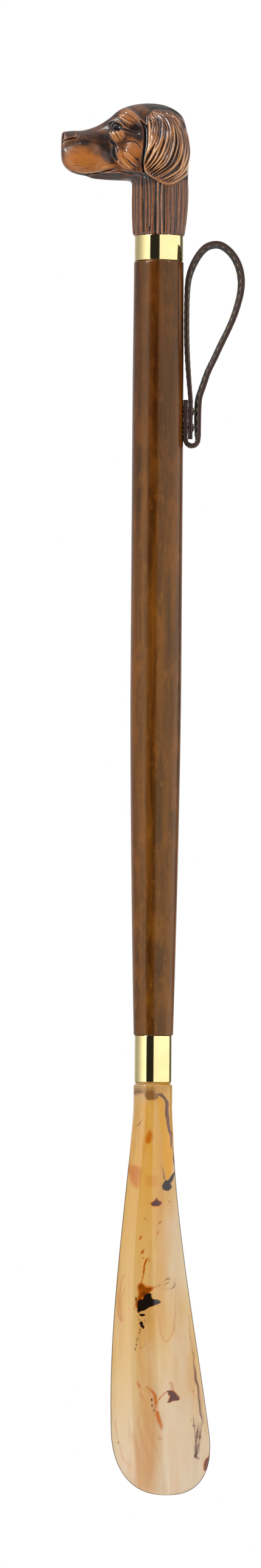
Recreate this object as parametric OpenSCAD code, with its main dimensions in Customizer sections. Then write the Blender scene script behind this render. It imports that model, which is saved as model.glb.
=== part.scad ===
// Long shoehorn with a carved dog's head as its handle.
// A turned wooden shaft joins the head, through a brass collar, to a horn-effect
// blade that sits in a thin brass ferrule. A stitched leather strap is folded
// into a hanging loop and nailed to the side of the shaft.
//
// The modules work in the shaft's frame: z = 0 is the tip of the blade, the Z axis
// is the axis of the shaft, the dog's nose points to -X and the strap is on +X.
// in_frame() then puts the origin at the inner top of the hanging loop.

/* [Shaft] */
// Length of wood that shows between the two brass fittings
shaft_len = 382.3; // [340:0.1:420]
// Diameter of the straight stretch in the middle
shaft_d = 25.2; // [24.6:0.1:27]
// Diameter under the upper collar
shaft_top_d = 24.6; // [24:0.1:25.2]
// Diameter above the lower ferrule
shaft_foot_d = 19.5; // [19:0.1:21]
// Length over which the shaft narrows towards the blade
taper_len = 174; // [150:1:200]

/* [Brass fittings] */
// Outer diameter of the upper collar
collar_d = 24; // [23.4:0.1:24.4]
// Height of the upper collar
collar_len = 12.5; // [11:0.1:14]
// Outer diameter of the lower ferrule
ferrule_d = 18.3; // [17.8:0.1:18.8]
// Height of the lower ferrule
ferrule_len = 22.7; // [20:0.1:25]
// Wall of the lower ferrule
ferrule_wall = 0.4; // [0.3:0.05:0.6]

/* [Blade] */
// Length from the tip to the shoulder under the ferrule
blade_len = 201.8; // [190:0.1:210]
// Diameter of the round neck
neck_d = 19.2; // [18.6:0.1:19.8]
// Greatest width
blade_w = 48.8; // [44:0.1:52]
// Wall thickness in the scoop
blade_t = 2.8; // [2.2:0.1:3.2]
// Sideways offset of the tip from the shaft's axis
tip_drift = 7.8; // [0:0.1:8]
// How far the tip bends back towards the hollow side
tip_bend = 6; // [3:0.5:8]

/* [Dog's head] */
// Height of the head above the collar
head_h = 65.7; // [60:0.1:70]
// Width over both ears
head_w = 31.2; // [30:0.1:33]

/* [Hanging strap] */
// Width of the leather band
strap_w = 7.5; // [7:0.1:8]
// Thickness of its two plies together
strap_t = 2.1; // [1.9:0.1:2.2]
// Height of the upper cut end above the foot of the shaft
strap_height = 313.7; // [280:0.1:330]
// Distance from the band's edge to its row of stitches
stitch_inset = 1; // [0.9:0.1:1.2]

/* [Hidden] */
$fn = 72;

// Joints between the main pieces
groove_h = 1.3;
tenon_d = 21;
tenon_len = 6;
spigot_d = ferrule_d - 2 * ferrule_wall;
spigot_len = 11.8;
joint_gap = 0.4;
edge_round = 1.1;

// Heights of the shoulders
z_shoulder = blade_len;
z_ferrule = z_shoulder + groove_h;
z_foot = z_ferrule + ferrule_len;
z_top = z_foot + shaft_len;
z_head = z_top + collar_len;

// Threaded studs and the brass inserts that they screw into
top_stud_d = 8;
top_insert_d = 12;
top_insert_len = 23;
top_stud_clear = 2;
foot_stud_d = 6;
foot_insert_d = 9;
foot_insert_len = 20;
blade_bore_z = 193;
stud_chamfer = 0.8;

// Nails through the strap
nail_d = 1.6;
nail_head_d = 4.2;
nail_head_t = 0.7;
nail_head_lift = 0.06;
nail_len = 14;
nail_tip = 1.6;
nail_drops = [5.5, 13.5];

// Middle line of the strap, from the end that lies on the shaft, round the U-turn,
// up the outside, over the top and down to the nailed tail: distance out from the
// shaft's side, height above the upper cut end, and the tilt that opens the loop.
strap_route = [
  [1.15, 0, 0], [1.15, -9, 0], [1.15, -16, 0], [1.15, -19.4, 0], [2.1, -21.6, 0],
  [4.3, -22.5, 0], [6.5, -21.6, 0], [7.4, -19.4, 0], [7.4, -14, 0], [7.4, -6, 2],
  [7.7, 0, 6],
  [8.4, 3.3, 8], [9.5, 7, 9], [11.9, 14, 10], [15.2, 21, 10], [18.4, 28, 10],
  [21.8, 35, 10], [24.9, 42.5, 11], [27.1, 50, 12], [28, 55, 13], [28.1, 60, 14],
  [27.1, 65.5, 14], [25, 70.2, 13], [22, 74, 12], [18.2, 76.6, 12], [14.5, 77, 12],
  [10.8, 75.7, 12], [8, 73, 12], [5.7, 69.5, 12], [3.8, 65.5, 11], [2.4, 61, 9],
  [1.7, 56, 7], [1.4, 49, 5], [1.35, 41, 5], [1.4, 33, 5], [1.6, 26, 5],
  [2, 19, 4], [2.5, 12, 3], [3.1, 5, 1],
  [3.5, 0, 0],
  [3.5, -6, 0], [3.5, -12, 0], [3.5, -19, 0]
];
fixed_last = 10;
loop_last = 39;
smooth_steps = 3;
flex_gap = 0.1;
thread_proud = 0.2;
thread_lift = 0.05;
glue_line = 0.06;
thread_w = 0.5;
z_cut = z_foot + strap_height;

// Inner top of the hanging loop, which is the origin of the part
hook_x = shaft_d / 2 + 16;
hook_z = z_cut + 77.15 - strap_t / 2;

// Sections of the head from the neck to the nose. Each one joins a point of the front
// and lower outline to a point of the back and upper outline: x and height above the
// collar of both points, then half the width, which takes in the ears.
head_sections = [
  [-12.3, 0, 12.3, 0, 12.3], [-12.8, 2, 12.7, 2, 12.6], [-13.2, 9.4, 13.6, 9.4, 12.7],
  [-13.3, 19, 14.2, 19.5, 13], [-13.4, 24.5, 14.3, 29, 14.2], [-14.2, 26.6, 14.8, 37, 15.3],
  [-16, 27.2, 15.3, 42.5, 15.6], [-18.5, 27.3, 13.6, 51.5, 15.4], [-21, 27.4, 10.5, 60, 14],
  [-23.5, 27.5, 5, 63.8, 12], [-26, 27.6, -3, 65.7, 10.8], [-28.5, 27.8, -12, 65.3, 9.8],
  [-31, 28, -20, 62.5, 8.8], [-33.5, 28.6, -25.5, 58, 8.2], [-36.5, 29.5, -31, 54.6, 7.6],
  [-40, 30.2, -37, 52.4, 7.1], [-43.5, 31.3, -42.5, 51.9, 6.6], [-46.8, 33.5, -46.6, 51.7, 5.8],
  [-48.8, 37.5, -48.8, 50.4, 4]
];
head_sides = 32;
blade_sides = 18;
blade_rings = 30;
tip_rings = 12;
tip_round = 30;
tip_power = 2.45;
neck_base = 197;
neck_lap = 0.05;

function mix(a, b, t) = a + (b - a) * t;
function clamp01(t) = min(1, max(0, t));
function smooth(t) = let (u = clamp01(t)) u * u * (3 - 2 * u);

// One point of a Catmull-Rom curve through the list p, t of the way from item i to the next
function curve_at(p, i, t) =
  let (n = len(p) - 1, a = p[max(0, i - 1)], b = p[i], c = p[min(n, i + 1)], d = p[min(n, i + 2)])
  0.5 * (2 * b + (c - a) * t + (2 * a - 5 * b + 4 * c - d) * t * t
    + (3 * b - a - 3 * c + d) * t * t * t);

function curve(p, steps, first, last) = [
  for (i = [first : last - 1], k = [0 : steps - 1]) curve_at(p, i, k / steps),
  p[last]
];

module in_frame() {
  translate([-hook_x, 0, -hook_z]) children();
}

// Closed solid through a list of rings that all have the same number of points
module skin(rings) {
  n = len(rings[0]);
  last = len(rings) - 1;
  sides = [
    for (i = [0 : last - 1], j = [0 : n - 1])
      let (k = (j + 1) % n)
      each [[i * n + j, (i + 1) * n + j, i * n + k], [i * n + k, (i + 1) * n + j, (i + 1) * n + k]]
  ];
  near_cap = [for (j = [0 : n - 1]) j];
  far_cap = [for (j = [n - 1 : -1 : 0]) last * n + j];
  polyhedron(
    points = [for (ring = rings) each ring],
    faces = concat(sides, [near_cap, far_cap]),
    convexity = 8
  );
}

// Solid tube standing on z = 0
module tube(d, bore, len) {
  difference() {
    cylinder(d = d, h = len);
    translate([0, 0, -1]) cylinder(d = bore, h = len + 2);
  }
}

module chamfered_rod(d, len, chamfer) {
  cylinder(d1 = d - 2 * chamfer, d2 = d, h = chamfer);
  translate([0, 0, chamfer]) cylinder(d = d, h = len - 2 * chamfer);
  translate([0, 0, len - chamfer]) cylinder(d1 = d, d2 = d - 2 * chamfer, h = chamfer);
}

// ---- Dog's head ----

function head_ring(s, n) = [
  for (j = [0 : n - 1])
    let (a = 360 * j / n, t = 0.5 + 0.5 * cos(a))
    [mix(s[0], s[2], t), s[4] * head_w / 31.2 * sin(a), mix(s[1], s[3], t) * head_h / 65.7]
];

module head_body() {
  sections = curve(head_sections, 2, 0, len(head_sections) - 1);
  skin([for (s = sections) head_ring(s, head_sides)]);
}

module dog_head() {
  color("sienna") in_frame() difference() {
    union() {
      translate([0, 0, z_head]) head_body();
      translate([0, 0, z_head - tenon_len]) cylinder(d = tenon_d, h = tenon_len + 2);
    }
    translate([0, 0, z_head - tenon_len - 1]) cylinder(d = top_insert_d, h = top_insert_len + 2);
  }
}

// ---- Brass fittings, studs and inserts ----

module upper_collar() {
  color("gold") in_frame() translate([0, 0, z_top]) tube(collar_d, tenon_d, collar_len);
}

module head_insert() {
  color("goldenrod") in_frame() translate([0, 0, z_head - tenon_len])
    tube(top_insert_d, top_stud_d, top_insert_len);
}

module shaft_top_insert() {
  color("goldenrod") in_frame() translate([0, 0, z_top + tenon_len - top_insert_len])
    tube(top_insert_d, top_stud_d, top_insert_len);
}

module handle_stud() {
  low = z_top + tenon_len - top_insert_len + top_stud_clear;
  high = z_head - tenon_len + top_insert_len - top_stud_clear;
  color("silver") in_frame() translate([0, 0, low])
    chamfered_rod(top_stud_d, high - low, stud_chamfer);
}

module lower_ferrule() {
  color("gold") in_frame() translate([0, 0, z_ferrule]) tube(ferrule_d, spigot_d, ferrule_len);
}

module shaft_bottom_insert() {
  color("goldenrod") in_frame() translate([0, 0, z_shoulder + spigot_len + joint_gap])
    tube(foot_insert_d, foot_stud_d, foot_insert_len);
}

module blade_stud() {
  high = z_shoulder + spigot_len + joint_gap + foot_insert_len - top_stud_clear;
  color("silver") in_frame() translate([0, 0, blade_bore_z])
    chamfered_rod(foot_stud_d, high - blade_bore_z, stud_chamfer);
}

// ---- Shaft ----

// Radius of the wood at a height above its foot
function shaft_r(h) =
  let (narrow = clamp01((taper_len - h) / taper_len), rise = (h - shaft_len + 70) / 70)
  shaft_d / 2
    - (shaft_d - shaft_foot_d) / 2 * pow(narrow, 1.5)
    - (shaft_d - shaft_top_d) / 2 * smooth(rise);

function quarter(r, h, from, turn) = [
  for (a = [0 : 30 : 90]) [r - edge_round + edge_round * cos(from + turn * a),
    h + edge_round * sin(from + turn * a)]
];

module shaft_profile() {
  foot_corner = quarter(shaft_r(edge_round), edge_round, -90, 1);
  top_corner = quarter(shaft_r(shaft_len - edge_round), shaft_len - edge_round, 0, 1);
  heights = [for (i = [1 : 20]) i * taper_len / 20];
  upper = [for (i = [1 : 6]) shaft_len - 70 + i * 10];
  side = [for (h = concat(heights, [shaft_len - 70], upper)) if (h > 2 && h < shaft_len - 2)
    [shaft_r(h), h]];
  polygon(concat([[0, 0]], foot_corner, side, top_corner, [[0, shaft_len]]));
}

module shaft() {
  foot_tenon = z_foot - z_shoulder - spigot_len - joint_gap;
  color("saddlebrown") in_frame() difference() {
    union() {
      translate([0, 0, z_foot]) rotate_extrude() shaft_profile();
      translate([0, 0, z_top - 1]) cylinder(d = tenon_d, h = tenon_len + 1);
      translate([0, 0, z_foot - foot_tenon]) cylinder(d = spigot_d, h = foot_tenon + 1);
    }
    translate([0, 0, z_top + tenon_len - top_insert_len])
      cylinder(d = top_insert_d, h = top_insert_len + 1);
    translate([0, 0, z_foot - foot_tenon - 1])
      cylinder(d = foot_insert_d, h = foot_insert_len + 1);
    nail_shapes(nail_d, 0);
  }
}

// ---- Blade ----

function blade_run(z) = (190 - z) / 162;
function blade_full_w(z) =
  let (u = clamp01(blade_run(z)))
  mix(neck_d / 2 - neck_lap, blade_w / 2, (u + smooth(u)) / 2);
function blade_half_w(z) =
  blade_full_w(z) * pow(1 - pow(clamp01((tip_round - z) / tip_round), tip_power), 1 / tip_power);
function blade_mid_x(z) =
  -0.5 * smooth((195 - z) / 45) + (tip_drift + 0.5) * pow(clamp01((150 - z) / 150), 2);
function blade_half_angle(z) = 40 + 50 / (1 + pow(max(0, 190 - z) / 15, 2));
function blade_back(z) =
  2 * smooth((190 - z) / 120) + tip_bend * pow(clamp01((150 - z) / 150), 2)
    - neck_d / 2 + neck_lap;
function blade_scoop(z) = smooth((192 - z) / 50);

// Outline of the blade at one height, front face first and then the hollow side
function blade_ring(z, n) =
  let (
    w = blade_half_w(z),
    r = blade_full_w(z) / sin(blade_half_angle(z)),
    x0 = blade_mid_x(z),
    y0 = blade_back(z) + r,
    hollow = blade_scoop(z),
    turns = [for (i = [0 : n]) -cos(180 * i / n)],
    across = [for (s = turns) s * w],
    wall = [for (s = turns)
      let (edge = sqrt(max(0, 1 - s * s)), thin = blade_t * pow(edge, 0.35) * min(1, w / 6))
      mix((neck_d - 2 * neck_lap) * edge, thin, hollow)],
    middle = [for (i = [0 : n])
      y0 - sqrt(r * r - across[i] * across[i])
        + mix(0, blade_t * (1 - pow(1 - turns[i] * turns[i], 0.175)) / 2, hollow)]
  )
  concat(
    [for (i = [0 : n]) [x0 + across[i], middle[i], z]],
    [for (i = [n - 1 : -1 : 1]) [x0 + across[i], middle[i] + wall[i], z]]
  );

module blade_body() {
  tip_levels = [for (i = [1 : tip_rings]) tip_round * (1 - cos(90 * i / tip_rings))];
  upper_levels = [for (i = [1 : blade_rings])
    mix(tip_round, neck_base + 1, i / blade_rings)];
  skin([for (z = concat(tip_levels, upper_levels)) blade_ring(z, blade_sides)]);
}

module blade() {
  color("burlywood") in_frame() difference() {
    union() {
      blade_body();
      translate([0, 0, neck_base]) cylinder(d = neck_d, h = z_shoulder - neck_base);
      translate([0, 0, z_shoulder - 1]) cylinder(d = spigot_d, h = spigot_len + 1);
    }
    translate([0, 0, blade_bore_z]) cylinder(d = foot_stud_d, h = 30);
  }
}

// ---- Hanging strap ----

function strap_place(p) = [shaft_d / 2 + p[0], z_cut + p[1], p[2]];
function unit(v) = v / norm(v);

// Corners of the band's section at item i of a smoothed route
function band_ring(p, i, across, through) =
  let (
    last = len(p) - 1,
    a = p[max(0, i - 1)],
    b = p[min(last, i + 1)],
    t = unit([b[0] - a[0], b[1] - a[1]]),
    tilt = p[i][2],
    out = [t[1] * cos(tilt), sin(tilt), -t[0] * cos(tilt)],
    side = [-t[1] * sin(tilt), cos(tilt), t[0] * sin(tilt)],
    base = [p[i][0], 0, p[i][1]]
  )
  [for (c = [[0, 0], [1, 0], [1, 1], [0, 1]]) base + side * across[c[0]] + out * through[c[1]]];

// A stretch of the band between two items of strap_route
module band(first, last, across, through, gap = 0) {
  placed = [for (p = strap_route) strap_place(p)];
  smoothed = curve(placed, smooth_steps, first, last);
  n = len(smoothed) - 1;
  ends = [
    smoothed[0] + gap * unit(smoothed[1] - smoothed[0]),
    smoothed[n] + gap * unit(smoothed[n - 1] - smoothed[n])
  ];
  route = [for (i = [0 : n]) i == 0 ? ends[0] : i == n ? ends[1] : smoothed[i]];
  skin([for (i = [0 : n]) band_ring(route, i, across, through)]);
}

module nail_shapes(d, head_d) {
  for (drop = nail_drops)
    translate([shaft_d / 2 + 3.5 + strap_t / 2, 0, z_cut - drop]) rotate([0, -90, 0]) {
      translate([0, 0, -nail_head_lift]) cylinder(d = d, h = nail_len - nail_tip + nail_head_lift);
      translate([0, 0, nail_len - nail_tip]) cylinder(d1 = d, d2 = 0.3, h = nail_tip);
      if (head_d > 0) translate([0, 0, -nail_head_t - nail_head_lift])
        cylinder(d = head_d, h = nail_head_t);
    }
}

module ply(first, last, through, gap = 0) {
  in_frame() difference() {
    band(first, last, [-strap_w / 2, strap_w / 2], through, gap);
    nail_shapes(nail_d, 0);
  }
}

module thread_rows(first, last, faces, gap = 0) {
  row = strap_w / 2 - stitch_inset;
  for (y = [-row, row], face = faces)
    band(first, last, [y - thread_w / 2, y + thread_w / 2], face, gap);
}

// Reach of the outer ply, the lining and the thread on each face, either side of the middle line
outer_ply = [glue_line / 2, strap_t / 2];
lining_ply = [-strap_t / 2, -glue_line / 2];
outer_face = [strap_t / 2 + thread_lift, strap_t / 2 + thread_lift + thread_proud];
lining_face = [-strap_t / 2 - thread_lift - thread_proud, -strap_t / 2 - thread_lift];

module strap_outer_fixed() {
  color("saddlebrown") ply(0, fixed_last, outer_ply);
}

module strap_lining_fixed() {
  color("dimgray") ply(0, fixed_last, lining_ply);
}

module strap_outer_tail() {
  color("saddlebrown") ply(loop_last, len(strap_route) - 1, outer_ply);
}

module strap_lining_tail() {
  color("dimgray") ply(loop_last, len(strap_route) - 1, lining_ply);
}

module strap_outer_loop() {
  color("saddlebrown") ply(fixed_last, loop_last, outer_ply, flex_gap);
}

module strap_lining_loop() {
  color("dimgray") ply(fixed_last, loop_last, lining_ply, flex_gap);
}

module strap_thread_fixed() {
  color("tan") in_frame() {
    thread_rows(0, fixed_last, [outer_face, lining_face]);
    thread_rows(loop_last, len(strap_route) - 1, [lining_face]);
  }
}

module strap_thread_loop() {
  color("tan") in_frame() thread_rows(fixed_last, loop_last, [outer_face, lining_face], flex_gap);
}

module strap_nails() {
  color("gold") in_frame() nail_shapes(nail_d, nail_head_d);
}

dog_head();
head_insert();
handle_stud();
upper_collar();
shaft_top_insert();
shaft();
shaft_bottom_insert();
lower_ferrule();
blade_stud();
blade();
strap_outer_fixed();
strap_lining_fixed();
strap_outer_tail();
strap_lining_tail();
strap_outer_loop();
strap_lining_loop();
strap_thread_fixed();
strap_thread_loop();
strap_nails();
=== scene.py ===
"""Looks of a long shoehorn with a dog's head handle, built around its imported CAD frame."""
import math
import bpy
import numpy as np
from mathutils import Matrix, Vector


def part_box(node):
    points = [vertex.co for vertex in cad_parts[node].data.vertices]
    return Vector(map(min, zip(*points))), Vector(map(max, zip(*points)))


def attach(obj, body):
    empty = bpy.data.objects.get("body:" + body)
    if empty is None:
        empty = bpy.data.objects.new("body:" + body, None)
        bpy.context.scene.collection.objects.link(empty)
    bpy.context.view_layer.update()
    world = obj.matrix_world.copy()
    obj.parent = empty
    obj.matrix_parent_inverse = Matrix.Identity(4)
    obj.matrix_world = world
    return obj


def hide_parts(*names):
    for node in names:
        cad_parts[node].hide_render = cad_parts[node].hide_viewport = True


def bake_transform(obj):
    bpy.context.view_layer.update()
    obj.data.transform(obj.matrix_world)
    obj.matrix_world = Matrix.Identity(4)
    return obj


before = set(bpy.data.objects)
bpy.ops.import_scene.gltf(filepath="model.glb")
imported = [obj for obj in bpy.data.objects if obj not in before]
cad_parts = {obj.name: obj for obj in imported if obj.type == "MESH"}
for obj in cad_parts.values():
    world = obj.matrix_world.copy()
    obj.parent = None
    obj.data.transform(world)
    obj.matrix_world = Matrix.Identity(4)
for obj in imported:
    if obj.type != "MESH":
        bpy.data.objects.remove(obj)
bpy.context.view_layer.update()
MM = 0.001

# The shoehorn's own frame, in millimetres: z = 0 at the blade's tip, x = y = 0 on the shaft's axis.
SHAFT_LOW, SHAFT_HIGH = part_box("shaft")
COLLAR_LOW, COLLAR_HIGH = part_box("upper_collar")
FERRULE_LOW, FERRULE_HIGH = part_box("lower_ferrule")
AXIS_X = (COLLAR_LOW.x + COLLAR_HIGH.x) / 2
FERRULE_Z = 203.1
TIP_Z = FERRULE_LOW.z - FERRULE_Z * MM
FOOT_Z = (FERRULE_HIGH.z - TIP_Z) / MM
TOP_Z = (COLLAR_LOW.z - TIP_Z) / MM
HEAD_Z = (COLLAR_HIGH.z - TIP_Z) / MM
SHOULDER_Z = 201.8
TENON_R = 10.5
COLLAR_R = 12.0
FERRULE_R = (FERRULE_HIGH.x - FERRULE_LOW.x) / MM / 2
SPIGOT_R = FERRULE_R - 0.4
TURNED_SIDES = 192
SEED = 7


def at(x, y, z):
    """A point of the shoehorn's own frame, in millimetres, as a place in the scene."""
    return Vector((AXIS_X + x * MM, y * MM, TIP_Z + z * MM))


def smooth(t):
    t = np.clip(t, 0, 1)
    return t * t * (3 - 2 * t)


def curve(points, steps):
    """A Catmull-Rom curve through the points, with this many steps between two of them."""
    p = np.array(points, float)
    p = np.vstack([2 * p[0] - p[1], p, 2 * p[-1] - p[-2]])
    t = (np.arange(steps) / steps)[:, None]
    out = []
    for a, b, c, d in zip(p, p[1:], p[2:], p[3:]):
        out.append(0.5 * (2 * b + (c - a) * t + (2 * a - 5 * b + 4 * c - d) * t**2
                          + (3 * b - a - 3 * c + d) * t**3))
    return np.vstack(out + [p[-2:-1]])


def add_object(name, data):
    made = bpy.data.objects.new(name, data)
    bpy.context.scene.collection.objects.link(made)
    return made


def make_mesh(name, points, faces, materials):
    """A mesh object from points in the shoehorn's own frame."""
    mesh = bpy.data.meshes.new(name)
    placed = np.asarray(points, float) * MM + np.array([AXIS_X, 0, TIP_Z])
    mesh.from_pydata(placed.tolist(), [], faces)
    mesh.polygons.foreach_set("use_smooth", [True] * len(mesh.polygons))
    mesh.validate()
    for material in materials:
        mesh.materials.append(material)
    return add_object(name, mesh)


def ring_faces(rings, sides, close_low=True, tube=False):
    """Faces of a skin through rings of points, with closed ends, or joined round as a tube."""
    faces = []
    for i in range(rings if tube else rings - 1):
        up = (i + 1) % rings
        for j in range(sides):
            k = (j + 1) % sides
            faces.append((i * sides + j, i * sides + k, up * sides + k, up * sides + j))
    if close_low and not tube:
        faces.append(tuple(range(sides - 1, -1, -1)))
    if not tube:
        faces.append(tuple((rings - 1) * sides + j for j in range(sides)))
    return faces


def store(piece, name, values):
    """Keeps one number per vertex for the material to read."""
    layer = piece.data.attributes.new(name, "FLOAT", "POINT")
    layer.data.foreach_set("value", np.asarray(values, np.float32))


def circle(radius, z, sides):
    """A level ring of points round the shaft's axis, of one radius or one for each point."""
    angles = np.arange(sides) * 2 * math.pi / sides
    return np.stack([radius * np.cos(angles), radius * np.sin(angles), np.full(sides, z)], 1)


def lathe(name, profile, material, tube=False):
    """A turned piece from its outline of (radius, height) points, in millimetres."""
    rings = [circle(r, z, TURNED_SIDES) for r, z in profile]
    faces = ring_faces(len(rings), TURNED_SIDES, tube=tube)
    return make_mesh(name, np.vstack(rings), faces, [material])


def corner(r, z, radius, start, steps=5):
    """Points of a rounded edge, a quarter circle about (r, z), starting at an angle in degrees."""
    angles = [math.radians(start + 90 * i / steps) for i in range(steps + 1)]
    return [(r + radius * math.cos(a), z + radius * math.sin(a)) for a in angles]


# ---------------------------------------------------------------- materials

class Nodes:
    """Short calls for building a node tree."""

    def __init__(self, tree):
        self.tree = tree

    def node(self, kind, inputs=(), **settings):
        made = self.tree.nodes.new("ShaderNode" + kind)
        for key, value in settings.items():
            setattr(made, key, value)
        for key, value in dict(inputs).items():
            self.feed(made, key, value)
        return made

    def feed(self, node, key, value):
        if isinstance(value, bpy.types.NodeSocket):
            self.tree.links.new(value, node.inputs[key])
        else:
            node.inputs[key].default_value = value

    def math(self, operation, a, b):
        return self.node("Math", {0: a, 1: b}, operation=operation).outputs[0]

    def plus(self, a, b):
        return self.math("ADD", a, b)

    def times(self, a, b):
        return self.math("MULTIPLY", a, b)

    def ramp(self, value, low, high):
        made = self.node("MapRange", {"Value": value, "From Min": low, "From Max": high},
                         interpolation_type="SMOOTHSTEP")
        return made.outputs["Result"]

    def blend(self, factor, a, b, mode="MIX"):
        inputs = {0: factor, 6: a, 7: b}
        return self.node("Mix", inputs, data_type="RGBA", blend_type=mode).outputs[2]


class Paint(Nodes):
    """The node tree of one material."""

    def __init__(self, name):
        self.material = bpy.data.materials.new(name)
        self.material.use_nodes = True
        super().__init__(self.material.node_tree)
        self.shader = self.tree.nodes["Principled BSDF"]

    def set(self, **inputs):
        for key, value in inputs.items():
            self.feed(self.shader, key.replace("_", " "), value)

    def place(self, scale=(1, 1, 1), coords="Object"):
        source = self.node("TexCoord").outputs[coords]
        return self.node("Mapping", {"Vector": source, "Scale": scale}).outputs["Vector"]

    def noise(self, scale, detail, rough, stretch=(1, 1, 1), coords="Object", distortion=0.0):
        inputs = {"Vector": self.place(stretch, coords), "Scale": scale, "Detail": detail,
                  "Roughness": rough, "Distortion": distortion}
        return self.node("TexNoise", inputs).outputs["Fac"]

    def stored(self, name):
        return self.node("Attribute", attribute_name=name).outputs["Fac"]

    def over(self, under, colour, field, low, high, most=1.0):
        """A colour laid over what is under it as a field rises from low to high."""
        cover = self.ramp(field, low, high)
        return self.blend(cover if most == 1.0 else self.times(cover, most), under, rgb(*colour))

    def bump(self, height, strength, distance):
        inputs = {"Height": height, "Strength": strength, "Distance": distance}
        return self.node("Bump", inputs).outputs["Normal"]


def rgb(red, green, blue):
    """A colour given as 0 to 255 screen values, as the shader wants it."""
    return tuple((c / 255 / 12.92 if c < 10.31 else ((c / 255 + 0.055) / 1.055) ** 2.4)
                 for c in (red, green, blue)) + (1.0,)


def cast_resin():
    """Cast head: dark stain in the carving, orange-brown on its ridges, the highest of them paler
    with a painted highlight, under a clear lacquer.
    """
    p = Paint("cast_resin")
    ridge = p.stored("ridge")
    tone = p.stored("tone")
    patchy = p.noise(270, 6, 0.68, distortion=0.4)
    fine = p.noise(900, 4, 0.65)
    uneven = p.times(p.math("SUBTRACT", patchy, 0.5), 0.8)
    warm = p.ramp(p.plus(tone, uneven), 0.05, 1.0)
    brown = p.blend(warm, rgb(112, 66, 44), rgb(194, 116, 48))
    lean = p.times(p.math("SUBTRACT", tone, 0.42), 0.6)
    lift = p.plus(p.plus(ridge, lean), p.times(uneven, 0.55))
    stained = p.blend(p.ramp(lift, 0.2, 0.85), rgb(22, 12, 10), brown)
    # The highest ridges turn paler: partly a rubbed-back lighter colour, partly a painted
    # highlight.
    wiped_and_highlight = p.times(p.ramp(lift, 0.9, 1.5), 0.75)
    pale_and_highlit = p.blend(wiped_and_highlight, stained, p.blend(warm, rgb(204, 158, 134), rgb(244, 192, 128)))
    p.set(Base_Color=p.over(pale_and_highlit, (52, 28, 22), fine, 0.62, 0.78, 0.3))
    p.set(Roughness=p.plus(p.times(fine, 0.18), 0.3))
    p.set(Normal=p.bump(p.plus(fine, p.times(patchy, 0.8)), 0.45, 0.0003))
    p.set(Coat_Weight=0.7, Coat_Roughness=0.12, Specular_IOR_Level=0.25)
    return p.material


WOOD_FADE = (1.5, 1.78, 1.7, 1)  # how much lighter the stain is on the lower part of the shaft


def stained_wood():
    """Walnut-stained wood: fine grain along the shaft, small pores and a satin lacquer."""
    p = Paint("stained_wood")
    grain = p.noise(260, 6, 0.65, stretch=(1, 1, 0.05), distortion=0.3)
    cloud = p.noise(110, 5, 0.65, stretch=(1, 1, 0.45))
    fleck = p.noise(620, 3, 0.6, stretch=(1, 1, 0.3))
    pores = p.noise(900, 3, 0.6, stretch=(1, 1, 0.12))
    stain = p.over(rgb(56, 25, 4), (104, 54, 12), grain, 0.3, 0.72)
    stain = p.over(stain, (118, 62, 14), cloud, 0.45, 0.68, 0.7)
    stain = p.over(stain, (148, 86, 30), fleck, 0.56, 0.75, 0.3)
    stain = p.blend(p.ramp(p.stored("height"), 0.88, 0.55), stain, WOOD_FADE, "MULTIPLY")
    p.set(Base_Color=p.over(stain, (40, 20, 8), pores, 0.6, 0.74, 0.4))
    p.set(Roughness=p.plus(p.times(grain, 0.14), 0.16))
    p.set(Normal=p.bump(p.plus(grain, p.times(pores, 0.6)), 0.12, 0.0002))
    p.set(Specular_IOR_Level=0.6, Specular_Tint=(1.0, 0.78, 0.5, 1))
    return p.material


def polished_brass():
    """Polished yellow brass with the faintest turning marks and a slightly uneven gloss."""
    p = Paint("polished_brass")
    turning = p.noise(2600, 2, 0.5, stretch=(0.04, 0.04, 1))
    smear = p.noise(90, 4, 0.6)
    tint = p.ramp(smear, 0.35, 0.75)
    p.set(Base_Color=p.blend(tint, (0.93, 0.79, 0.40, 1), (0.86, 0.70, 0.32, 1)))
    p.set(Metallic=1.0, Roughness=p.plus(p.times(smear, 0.06), 0.03))
    p.set(Normal=p.bump(turning, 0.02, 0.0001))
    return p.material


def plain_metal(name, bright, dull, rough):
    """Turned metal for the hidden inserts, the studs and the nails."""
    p = Paint(name)
    marks = p.noise(1800, 3, 0.6, stretch=(0.1, 0.1, 1))
    cloud = p.noise(220, 4, 0.6)
    p.set(Base_Color=p.blend(p.ramp(cloud, 0.3, 0.7), dull, bright))
    p.set(Metallic=1.0, Roughness=p.plus(p.times(marks, 0.2), rough))
    p.set(Normal=p.bump(marks, 0.08, 0.0001))
    return p.material


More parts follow.
